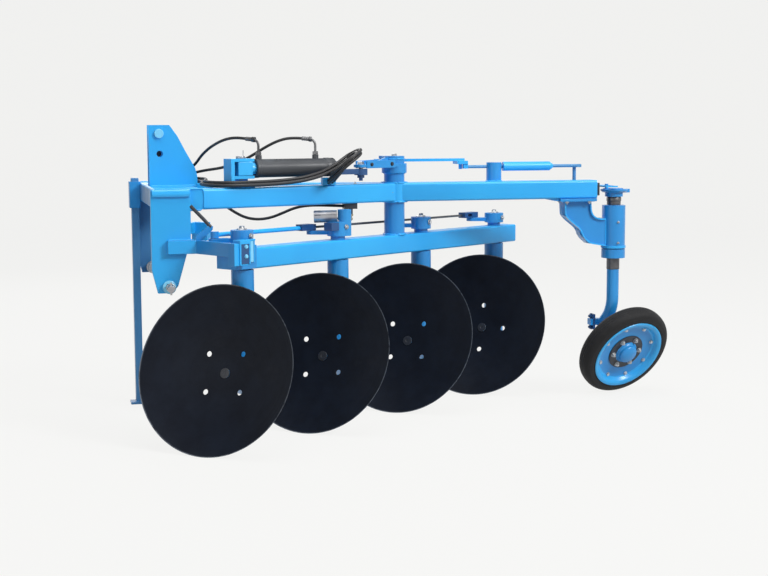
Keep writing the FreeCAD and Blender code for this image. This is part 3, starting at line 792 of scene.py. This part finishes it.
def makeDiscs():
    reach, depth = discSet["holeRadius"], -discSet["drillDepth"]
    profile = [(0, 0), (reach, 0), (reach, depth), (0, depth)]
    for k in range(4):
        name = str(k + 1)
        piece = addPiece("disc_" + name + "Blade", [discShell(k)], "discSteel", None, 40)
        axis = discFrame(k)[1]
        holes = discCircle(k, discSet["holeCircle"], 4, discSet["phases"][k]) + axis * discSet["drillStart"]
        bores = [turnedShell(profile, hole, axis, 32) for hole in holes]
        drill = addPiece("drill", bores, "discSteel", None, 30)
        cut = piece.modifiers.new("holes", "BOOLEAN")
        cut.operation = "DIFFERENCE"
        cut.solver = "EXACT"
        cut.object = drill
        bpy.context.view_layer.update()
        graph = bpy.context.evaluated_depsgraph_get()
        drilled = bpy.data.meshes.new_from_object(piece.evaluated_get(graph))
        piece.modifiers.clear()
        piece.data = drilled
        bpy.data.objects.remove(drill)
        settle(piece, "disc_body_" + name, ("disc_" + name,))
        dressed("disc_hub_" + name, "bluePaint", 1.0)
    print("discs made")


makeDiscs()


# tail wheel

wheelSet = {
    "centre": (1081, 18, 206.2), "lean": 28.7, "steer": 14.2, "around": 128,
    "rim": [(62, -15), (84, -17), (98, -16), (112, -19), (122, -30), (130, -36), (140, -38), (150, -38.5),
        (158, -43.5), (170, -44.5), (173, -43.0), (173, -41.5), (158, -36), (156, -30), (156, 30),
        (158, 36), (173, 41.5), (174.5, 43), (173, 45.5), (168, 46), (159, 43.5), (153, 38.5), (149, 31),
        (145, 24.5), (138, 21), (126, 18), (112, 16.5), (100, 18.0), (84, 17), (62, 17)],
    "hubRing": [(44, 22), (60, 23.5), (84, 23.5), (88, 21.0), (88, 15), (44, 15)],
    "hubCap": [(19, -50), (44, -50), (46, -48), (47, -40), (58.5, -18), (59.3, -16), (59.3, 20), (51, 25),
               (49, 31), (45, 34)],
    "domeRadius": 44.0, "domeBase": 38.0, "domeRise": 21.0,
}
tyreSet = {"turn": 0.80, "steps": 121, "halfWidth": 42.0, "middle": 185.5, "swell": 36.5,
           "bead": (156.2, 33.0), "sideRings": (199.0, 187.0), "ringHeight": 0.9, "ringWidth": 1.6,
           "grooves": (-12.0, 0.0, 12.0), "grooveDepth": 1.8, "grooveWidth": 1.3, "treadFrom": 212.0}


def wheelAxis():
    lean, steer = math.radians(wheelSet["lean"]), math.radians(wheelSet["steer"])
    return np.array([math.sin(steer) * math.cos(lean), -math.cos(steer) * math.cos(lean), -math.sin(lean)])


def wheelShell(profile):
    return turnedShell(profile, wheelSet["centre"], wheelAxis(), wheelSet["around"], loop=True)


# points on a circle about the wheel's axis
def wheelCircle(radius, height, count, phase=0.0):
    angle = np.linspace(0, 2 * math.pi, count, endpoint=False) + phase
    middle = np.array(wheelSet["centre"]) + height * squareTo(wheelAxis())[2]
    return middle + radius * circleAbout(wheelAxis(), angle)


# a power of a sine or cosine that keeps its sign
def squashed(wave, power):
    return np.sign(wave) * np.abs(wave) ** power


# a low ridge around some spots of an outline
def ridges(spread, spots, width):
    return sum(np.exp(-((spread - spot) / width) ** 2) for spot in spots)


# the tyre's section: a squashed round with moulded rings on its sides and shallow grooves in its tread
def tyreOutline():
    angle = np.linspace(-1, 1, tyreSet["steps"]) * tyreSet["turn"] * math.pi
    radius = tyreSet["middle"] + tyreSet["swell"] * squashed(np.cos(angle), 0.85)
    width = tyreSet["halfWidth"] * squashed(np.sin(angle), 0.80)
    rings = tyreSet["ringHeight"] * ridges(radius, tyreSet["sideRings"], tyreSet["ringWidth"])
    width = width + np.sign(width) * rings
    grooves = tyreSet["grooveDepth"] * ridges(width, tyreSet["grooves"], tyreSet["grooveWidth"])
    radius = radius - grooves * (radius > tyreSet["treadFrom"])
    bead, side = tyreSet["bead"]
    return [(bead, -side), *zip(radius, width), (bead, side)]


def makeWheel():
    addPiece("tailTyre", [wheelShell(tyreOutline())], "tyreRubber", "tail_wheel", 50, ("tail_tyre",))
    # pressed rim: a dished middle, a step up to the bead seat and a rolled lip over the tyre's side
    rim = wheelShell(wheelSet["rim"])
    piece = addPiece("tailRim", [rim], "shadedBluePaint", "tail_wheel", 30, ("tail_rim",))
    # the rolled lip gets the lit blue, and the dished middle keeps the darker blue as painted shade
    repaint(piece, "bluePaint", {"wheel": (140, endless)})
    addPiece("tailHubRing", [wheelShell(wheelSet["hubRing"])], "darkPaint", "tail_wheel", 30)
    turn = np.linspace(0, math.pi / 2, 18)
    dome = np.column_stack([wheelSet["domeRadius"] * np.cos(turn),
                            wheelSet["domeBase"] + wheelSet["domeRise"] * np.sin(turn)])
    cap = [*wheelSet["hubCap"], *dome, (0, 24), (19, 24)]
    addPiece("tailHubCap", [wheelShell(cap)], "shadedBluePaint", "tail_wheel", 35, ("tail_hub",))
    print("tail wheel made")


makeWheel()


# fasteners

# shares of a bolt's size
boltSet = {"head": 0.95, "headHeight": 0.62, "washer": 1.12, "washerHeight": 0.18, "stud": 0.47,
           "threadWave": 4.2, "turn": 0.2, "nextTurn": 0.37}


# hexagon head on a washer, seated at a place and pointing along an axis
def hexHead(place, axis, size, turn):
    washer, high = size * boltSet["washer"], size * boltSet["washerHeight"]
    wide, top = size * boltSet["head"], high + size * boltSet["headHeight"]
    flat = [(0, -0.6), (washer, -0.6), (washer, high * 0.8), (washer * 0.96, high), (0, high)]
    chamfer = high * 0.18 + top * 0.82
    head = [(0, high * 0.5), (wide, high * 0.5), (wide, chamfer), (wide * 0.86, top), (0, top)]
    return [turnedShell(flat, place, axis, 28), turnedShell(head, place, axis, 6, turn)]


# nut on a washer, with the end of its threaded stud showing
def hexNut(place, axis, size, turn):
    start = size * (boltSet["washerHeight"] + boltSet["headHeight"]) * 0.8
    along = np.linspace(start, start + size * 0.45 + 2, 16)
    radius = size * boltSet["stud"] + 0.25 * np.sin(along * boltSet["threadWave"])
    end = along[-1] + size * 0.08
    thread = [(0, start), *zip(radius, along), (size * 0.34, end), (0, end)]
    return [*hexHead(place, axis, size, turn), turnedShell(thread, place, axis, 20)]


def fasten(name, body, size, places, axis=upward, kind=hexHead, finish="zincSteel"):
    places = np.atleast_2d(np.asarray(places, float))
    shells = []
    for count, place in enumerate(places):
        shells += kind(place, axis, size, boltSet["turn"] + boltSet["nextTurn"] * count)
    addPiece(name, shells, finish, body, 30)


# runs on the far side are mirrored for the near one
weldSet = {
    "hitch": [[(-1042, 28, 980), (-854, 28, 980)], [(-1042, 42, 980), (-854, 42, 980)],
              [(-870, 415, 905), (-866, 415, 915), (-866, 415, 970), (-872, 415, 981), (-1052, 415, 981),
               (-1060, 415, 972), (-1060, 415, 908), (-1052, 415, 899), (-876, 415, 899)],
              [(-868, 310, 905), (-868, 310, 975)], [(-1013, 435, 785), (-906, 435, 785)],
              [(-1013, 435, 733), (-960, 435, 733)], [(-1013, 435, 733), (-1013, 435, 785)],
              [(-868, 406, 905), (-868, 406, 975)]],
    "tail": [[(746, 50, 889), (908, 50, 889)], [(767, 24, 888), (890, 24, 888)],
             [(968, 24, 690), (968, 24, 806)]],
    "legBox": [[(-1060, 352, 981), (-1060, 413, 981)], [(-1100, 415, 876), (-1100, 415, 980)]],
    "seat": [(-60, -30, 981), (46, -30, 981), (46, 30, 981), (-60, 30, 981), (-60, -30, 981)],
    "house": [[(-873, -45, 684), (-873, -45, 752)], [(-873, -46, 757), (-873, 46, 757)],
              [(-873, 45, 684), (-873, 45, 752)]],
    # middle, radius and bead of the rings around the swing housing and the guide post, and on the pivot post
    "frameRings": [((0, 0, 981), 55, 3.5), ((0, 0, 899), 55, 3.5), ((455, 15, 981), 34, 3.0)],
    "swingRings": [((0, 0, 1022), 46, 4.0), ((0, 0, 758), 46, 5.0), ((0, 0, 1082), 44, 2.6)],
    "step": 1.8, "ripple": 5.5, "sides": 10,
}


# a fillet of weld: a half-sunk bead whose radius rises and falls along its run
def weldShell(points, size):
    path, marks = alongRuns(points, weldSet["step"])
    wave = (marks / weldSet["ripple"]) % 1.0
    ends = np.clip(np.minimum(marks, marks[-1] - marks) / (size * 1.5), 0.25, 1.0)
    uneven = 1 + 0.06 * np.sin(marks * 0.11) + 0.05 * np.sin(marks * 0.043 + 1.3)
    return tubeShell(path, size * ends * uneven * (0.86 + 0.16 * np.sin(wave * math.pi)), weldSet["sides"])


def weldRing(centre, radius, size, axis=upward):
    return weldShell(np.asarray(centre) + radius * circleAbout(axis, np.linspace(0, 2 * math.pi, 60)), size)


def weld(name, body, rings, runs=(), size=4.0):
    addPiece(name, [*rings, *(weldShell(run, size) for run in runs)], "bluePaint", body, 60)


def mirrored(runs):
    return [np.array(run) * [1, side, 1] for side in (-1, 1) for run in runs]


def makeWelds():
    weld("frameWelds", "frame", [], mirrored(weldSet["hitch"]))
    rings = [weldRing(*ring) for ring in weldSet["frameRings"]]
    runs = [onSeat(weldSet["seat"]), *mirrored(weldSet["tail"]), *weldSet["legBox"]]
    weld("beamWelds", "frame", rings, runs, 3.2)
    rings = [weldRing(*ring) for ring in weldSet["swingRings"]]
    weld("swingWelds", "disc_beam", rings, [onBeam(run) for run in weldSet["house"]])
    for k in range(4):
        centre, axis, _, _ = discFrame(k)
        carrier = centre - axis * (discSet["dish"] + 140)
        rings = [weldRing(carrier, 55, 3.0, axis), weldRing(onStation([0, 0, 232], k), 43, 3.0)]
        weld("standardWelds_" + str(k + 1), "standard_" + str(k + 1), rings)
    print("welds run")


fastenSet = {"standardTops": (826, 832, 824, 816), "clampTurn": machine["beamAngle"] - 75}
noseProfile = [(0, 1), (19.8, 1), (19.9, 2.8), (18.8, 3.6), (7.5, 3.9), (6.2, 2.8), (0, 2.6)]


def makeFasteners():
    wheel = wheelAxis()
    fasten("rimBolts", "tail_wheel", 8.5, wheelCircle(134, 20.0, 8, 0.35), wheel)
    fasten("hubNuts", "tail_wheel", 10.5, wheelCircle(70, 23.5, 6, 0.1), wheel, hexNut)
    fasten("rimBoltsBack", "tail_wheel", 10.5, wheelCircle(92, -16.0, 8, 0.35), -wheel, hexNut)
    for side, name in ((-1, "near"), (1, "far")):
        fasten(name + "PinNut", "frame", 24, (-1009, side * 392, 605), (0, -side, 0))
    # clamp bolts on the stop arm's end and nuts behind the front housing
    out = onBeam([0, -1, 0])
    clamps = onBeam([(-972, -98.5, 771), (-972, -98.5, 734)])
    # the stop bolts' light cyan is partly a painted highlight
    fasten("stopBolts", "frame", 7.5, clamps, out, finish="cyanHighlightPaint")
    back = onBeam([(x, 55, z) for x in (-892, -928) for z in (706, 744)])
    fasten("housingNuts", "disc_beam", 11, back, -out, hexNut)
    flange = [(x, y, 888) for x in (775, 880) for y in (-46, 46)]
    fasten("flangeBolts", "frame", 9, flange, downward, hexNut)
    fasten("leverBoltsLow", "disc_beam", 10, onBeam([-215, 0, 1049]), downward, hexNut)
    fasten("leverBoltTop", "disc_beam", 15, onBeam([-215, 0, 1062]))
    fasten("postCapBolt", "disc_beam", 12, (0, 0, 1094))
    way = turnedPoints([1, 0, 0], fastenSet["clampTurn"])
    for k, top in enumerate(fastenSet["standardTops"]):
        name = str(k + 1)
        fasten("standardNut_" + name, "standard_" + name, 22, stationAt(k) + [0, 0, top - 12], kind=hexNut)
        clamp = stationAt(k) + turnedPoints([44, -8, top - 22], fastenSet["clampTurn"])
        fasten("armBolt_" + name, "standard_" + name, 10, clamp, way)
        centre, axis, _, _ = discFrame(k)
        nuts = discCircle(k, discSet["nutCircle"], discSet["nuts"], discSet["nutPhase"])
        nuts -= axis * (discSet["dish"] + 20)
        fasten("hubNuts_" + name, "disc_body_" + name, 10, nuts, -axis, hexNut)
        plug = turnedShell(noseProfile, centre - axis * discSet["dish"], axis, 40)
        addPiece("hubCentre_" + name, [plug], "darkPaint", "disc_body_" + name, 30)
    print("fasteners in")


makeWelds()
makeFasteners()


# small fittings

elbowSet = {"ports": {"hose_front": 80.0, "hose_rear": 339.0}, "barrelTop": 1088.0, "tube": 5.0, "bend": 26.0,
            "nut": [(0, 0), (12.2, 0), (12.2, 11), (10.8, 13), (0, 13)],
            "collar": [(0, 0), (13, 0), (13, 16), (10, 18), (0, 18)]}


# a rigid tube from each port of the barrel, bent towards its hose, with its nuts and the hose's crimped end
def makeElbows():
    nut, reach = elbowSet["nut"], elbowSet["bend"]
    for node, distance in elbowSet["ports"].items():
        port = cylinderAt(distance)
        end, far = (np.array(hoseRoutes[node][index], float) for index in (0, -1))
        corner = np.array([port[0], port[1], end[2] - 5])
        out = (end - corner) / np.linalg.norm(end - corner)
        bend = np.linspace(0, 1, 22)[:, None]
        start, stop = corner - [0, 0, reach], corner + out * reach
        arc = (1 - bend) ** 2 * start + 2 * bend * (1 - bend) * corner + bend ** 2 * stop
        path = np.concatenate([[port + [0, 0, 50]], arc, [end - out * 8]])
        seat = np.array([port[0], port[1], elbowSet["barrelTop"]])
        shells = [tubeShell(path, elbowSet["tube"], 16), ferruleShell(end - out * 30, out),
                  turnedShell(nut, seat + [0, 0, 19], upward, 6), turnedShell(nut, end - out * 38, out, 6),
                  turnedShell(elbowSet["collar"], seat + [0, 0, 0.5], upward, 28)]
        replaced = ("fitting_elbows",) if node == "hose_front" else ()
        piece = addPiece(node + "Elbow", shells, "fittingSteel", None, 35, replaced)
        bendWithBarrel(piece)


# a wire bent into a shape, as for a split pin or a clip
def wire(points, radius):
    return tubeShell(softened(alongRuns(points, 1.5)[0]), radius, 10)


# a lip standing out from a plate's face along an outline in x and z, kept on the outline's inner side
def lipShell(outline, thick, y0, y1):
    path = softened(alongRuns([(x, 0, z) for x, z in outline], 5.0)[0])
    way = np.gradient(path, axis=0)
    way /= np.linalg.norm(way, axis=1)[:, None]
    inner = path + thick * np.stack([-way[:, 2], way[:, 1], way[:, 0]], 1)
    near, far = np.array([0, y0, 0.0]), np.array([0, y1, 0.0])
    return gridShell(np.stack([path + near, path + far, inner + far, inner + near], 1), caps=True)


def addBlocks(name, shells, finish, body, width=1.2):
    breakEdges(addPiece(name, shells, finish, body, 30), width)


# boxes: finish, body, width of the broken edge, how they are placed, and their corners
blockTrim = {
    # clamp plate on the tail shank's foot
    "shankClamp": ("navyPaint", "tail_crank", 1.2, None, [((949, 60, 296), (960, 104, 366))]),
    # recessed pad and rails on the stop arm's end, and a strip with a top step on the front housing, whose
    # light cyan is partly a painted highlight
    "stopPad": ("navyPaint", "frame", 0.6, onBeam, [((-998, -98.5, 706), (-957, -95, 781))]),
    "stopRails": ("bluePaint", "frame", 1.2, onBeam, [
        ((-1006, -101, 704), (-998, -95, 785)), ((-957, -101, 704), (-951, -95, 785)),
        ((-1006, -101, 781), (-951, -62, 796))]),
    "housingStrip": ("cyanHighlightPaint", "disc_beam", 1.2, onBeam, [((-914, -62, 706), (-898, -54.5, 786))]),
    "housingFrame": ("bluePaint", "disc_beam", 1.2, onBeam, [
        ((-942, -60, 787), (-886, -54.5, 794)), ((-893, -59, 704), (-888, -54.5, 788))]),
    # catch below the lock sleeve, and the cylinder's own eye block inside its seat
    "sleeveCatch": ("navyPaint", "standard_2", 1.2, lambda spots: onBeam(spots) + stationAt(1), [
        ((-74, -36, 796), (-30, 8, 829))]),
    "cylinderBlock": ("bluePaint", "cylinder_barrel", 2.5, onCylinder, [
        ((-24, -30.5, -27.2), (40, 30.5, 27.2))]),
}

sleeveWay = np.array([-1, 0.22, -0.02]) / np.linalg.norm([-1, 0.22, -0.02])
sleeveEnd = stationAt(1) + onBeam([-8, -4, 853]) + sleeveWay * 66
# turned trim: finish, body, smoothing angle, place, axis, sides, closed into a ring or not, and profile
turnedTrim = {
    # dished flange and bearing sleeve under the tail's lever, and the band on the tail shank
    "kingFlange": ("shadedBluePaint", "tail_crank", 35, (1016, 0, 0), upward, 64, True, [
        (30, 923), (52, 924), (60, 931), (61, 936), (57, 938), (40, 936), (30, 936)]),
    "kingSleeve": ("fittingSteel", "tail_crank", 35, (1016, 0, 0), upward, 48, True, [
        (27, 868), (31, 869), (31, 884), (33, 886), (33, 900), (31, 903), (27, 903)]),
    "shankBand": ("fittingSteel", "tail_crank", 30, (1016, 0, 578), upward, 48, False, [
        (0, 0), (27.2, 0), (28.8, 1), (28.8, 51), (27.2, 52), (0, 52)]),
    # lock sleeve's end ring, a dark plug in the far mast plate's lower hole as painted shade for the hole,
    # low fitting's coupling, rod's wiper
    "sleeveEnd": ("fittingSteel", "standard_2", 30, sleeveEnd, sleeveWay, 6, False, [
        (0, 0), (25.4, 0), (26.2, 2), (26.2, 24), (23, 29), (0, 29)]),
    "mastHoleShade": ("darkPaint", "frame", 30, (-1002, 34, 1111), (0, 1, 0), 32, False, [
        (0, 0), (12.7, 0), (12.7, 7), (0, 7)]),
    "lowCoupling": ("brassSteel", "frame", 30, (-214, -95, 852), downward, 6, False, [
        (0, -1), (11, -1), (11, 6), (6, 8), (6, 14), (9, 15), (9, 22), (5, 26), (0, 26)]),
    "rodWiper": ("hoseRubber", "cylinder_barrel", 30, cylinderAt(420.5), cylinderWay, 40, True, [
        (17.5, 0), (24, 0), (24, 4), (21, 7), (17.5, 7)]),
}


def makeSimpleTrim():
    for name, (finish, body, width, placing, boxes) in blockTrim.items():
        addBlocks(name, [blockShell(low, high, placing) for low, high in boxes], finish, body, width)
    for name, (finish, body, smooth, place, axis, sides, loop, profile) in turnedTrim.items():
        phase = 0.3 if name == "sleeveEnd" else 0.0
        addPiece(name, [turnedShell(profile, place, axis, sides, phase, loop)], finish, body, smooth)
    # a dark navy plate at the back of the seat: painted shade for the hollow behind the cylinder's eye
    hollow = blockShell((-45, -25, 1026), (-40.5, 25, 1082), onSeat)
    addPiece("seatHollowShade", [hollow], "navyPaint", "frame", 30)


def makeBrackets():
    # tail bracket: lips along its front and lower edge and around its notch, on both faces
    edge = [(769, 888), (772, 826), (790, 806), (842, 764), (862, 722), (890, 698), (970, 684)]
    notch = [(968, 809), (940, 808), (912, 818), (898, 840), (894, 888)]
    shells = [lipShell(run, 6.0, y0, y1) for run in (edge, notch) for y0, y1 in ((-35, -23), (23, 35))]
    ring = [(50, 0), (55.5, 2), (55.5, 12), (50, 14)]
    shells.append(turnedShell(ring, (1016, 0, 673), upward, 64, loop=True))
    addPiece("tailLips", shells, "bluePaint", "frame", 40)
    # brace from the near hitch plate down to the stop arm
    outline = [(-905, 784), (-884, 784), (-840, 824), (-838, 838), (-852, 842), (-905, 802)]
    lug = slabShell([[(x, y, z) for x, z in outline] for y in (-457, -447)])
    addBlocks("stopLug", [lug], "shadedBluePaint", "frame")
    brace = tubeShell([(-921, -430, 916), (-902, -438, 896), (-874, -446, 866), (-846, -452, 834)], 7.0, 16)
    addPiece("stopBrace", [brace], "darkPaint", "frame", 40)
    # rounded corners along the top of both hitch plates
    bend = np.linspace(0, math.pi / 2, 9)
    corner = [(435 + 12 * math.cos(turn), 958 + 23 * math.sin(turn)) for turn in bend]
    corner += [(425, 981), (425, 955), (445, 953)]
    shells = [slabShell([[(x, side * y, z) for y, z in corner] for x in (-1068, -925)]) for side in (-1, 1)]
    addPiece("plateCorners", shells, "bluePaint", "frame", 40)
    # cheeks that make the swing lever a channel, lower at the lever's end
    outline = [(-212, 27, 1076), (-50, 44, 1080), (-50, 50, 1080), (-212, 33, 1076)]
    shells = []
    for side in (-1, 1):
        top = np.array(outline) * [1, side, 1]
        shells.append(slabShell([top * [1, 1, 0] + [0, 0, 1046], top], onBeam))
    addBlocks("leverCheeks", shells, "shadedBluePaint", "disc_beam")
    print("brackets added")


trimSet = {
    "collar": [(15, 0), (25, 0), (26, 2), (26, 6), (21, 9), (15, 9)],
    "nipple": [(0, -1), (5, -1), (5, 3), (3, 4), (3, 8), (4.2, 9.5), (3.6, 12), (2.0, 13.5), (0, 13.5)],
    "nipplePlaces": [((1016, -52, 792), (0, -1, 0)), ((1016, -52, 700), (0, -1, 0)),
                     ((-20, -51, 940), (-0.38, -0.92, 0))],
    "gland": [(19, 0), (38.2, 0), (38.9, 2), (38.9, 22), (37.0, 24), (37.0, 27), (38.2, 29), (38.2, 40),
              (36, 43), (19, 43)],
    "cap": [(20, 0), (35, 0), (38.4, 3), (38.4, 16), (37.1, 18), (20, 18)],
    "glandAt": 378, "capAt": 59.5, "pinReach": 512, "pinRing": 16,
}


def makeTrim():
    # collars on the hitch pins in light cyan, partly a painted highlight
    shells = []
    for side in (-1, 1):
        shells.append(turnedShell(trimSet["collar"], (-1009, side * 445, 605), (0, side, 0), loop=True))
    addPiece("pinCollars", shells, "cyanHighlightPaint", "frame")
    # linch pins through the hitch pins, and split pins
    shells = []
    reach, angle = trimSet["pinRing"], np.linspace(0, 2 * math.pi, 40)
    for side in (-1, 1):
        middle = np.array([-1009, side * trimSet["pinReach"], 605.0])
        shells.append(wire([middle + [0, 0, -24], middle + [0, 0, 26]], 4.0))
        ring = np.column_stack([reach * np.sin(angle), np.zeros(40), 20 + reach * (np.cos(angle) - 1)])
        shells.append(wire(middle + ring, 1.8))
    shells.append(wire([(-1004, 50, 1174), (-1004, 50, 1216)], 3.2))
    shells.append(wire([(-716, -296, 1101), (-694, -288, 1103), (-693, -287, 1128)], 1.8))
    addPiece("linchPins", shells, "zincSteel", "frame", 40)
    # grease nipples on the tail sleeve and the swing housing
    shells = [turnedShell(trimSet["nipple"], place, axis, 16) for place, axis in trimSet["nipplePlaces"]]
    addPiece("greaseNipples", shells, "zincSteel", "frame")
    fasten("clampBolts", "tail_crank", 11, [(949, 82, 306), (949, 82, 356)], (-1, 0, 0), hexNut, "navyPaint")
    pins = onBeam([(-70, -47, 1062), (-185, -34, 1062)])
    fasten("leverPins", "disc_beam", 8, pins, onBeam([0, -1, 0]), finish="darkPaint")
    fasten("beamStud", "frame", 6.5, (-197, -108, 980), kind=hexNut)
    # cylinder end rings
    shells = [turnedShell(trimSet[kind], cylinderAt(trimSet[kind + "At"]), cylinderWay, loop=True)
              for kind in ("gland", "cap")]
    addPiece("cylinderRings", shells, "greyPaint", "cylinder_barrel", 30)
    print("small fittings in")


makeElbows()
makeSimpleTrim()
makeBrackets()
makeTrim()
